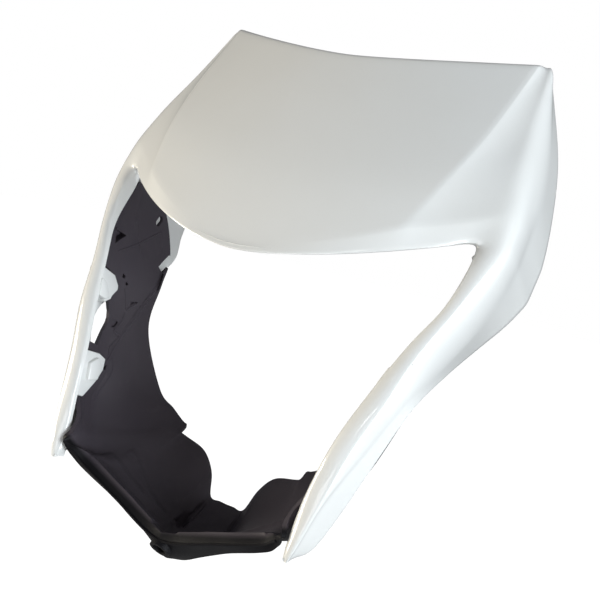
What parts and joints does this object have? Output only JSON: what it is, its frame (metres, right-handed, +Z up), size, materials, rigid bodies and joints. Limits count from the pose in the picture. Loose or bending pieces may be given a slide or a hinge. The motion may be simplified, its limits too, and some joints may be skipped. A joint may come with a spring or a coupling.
{
  "type": "motorbike headlight cowl",
  "caption": "Glossy white headlight cowl with a wide visor, side wings and long legs round an open lamp hole, with a black inner moulding and chin.",
  "frame": {"origin": "middle of the screw hole in the chin, on the centre plane", "axes": "+X to the right seen from the front, +Y to the rear of the bike, +Z up, with the face leaned back by 20 degrees as it sits on the bike"},
  "size_m": [0.262, 0.1618, 0.3146],
  "materials": {
    "painted_white": "gloss",
    "black_plastic": "matte"
  },
  "bodies": {
    "root": {"front_cowl": "painted_white", "inner_cowl": "black_plastic"}
  },
  "joints": []
}
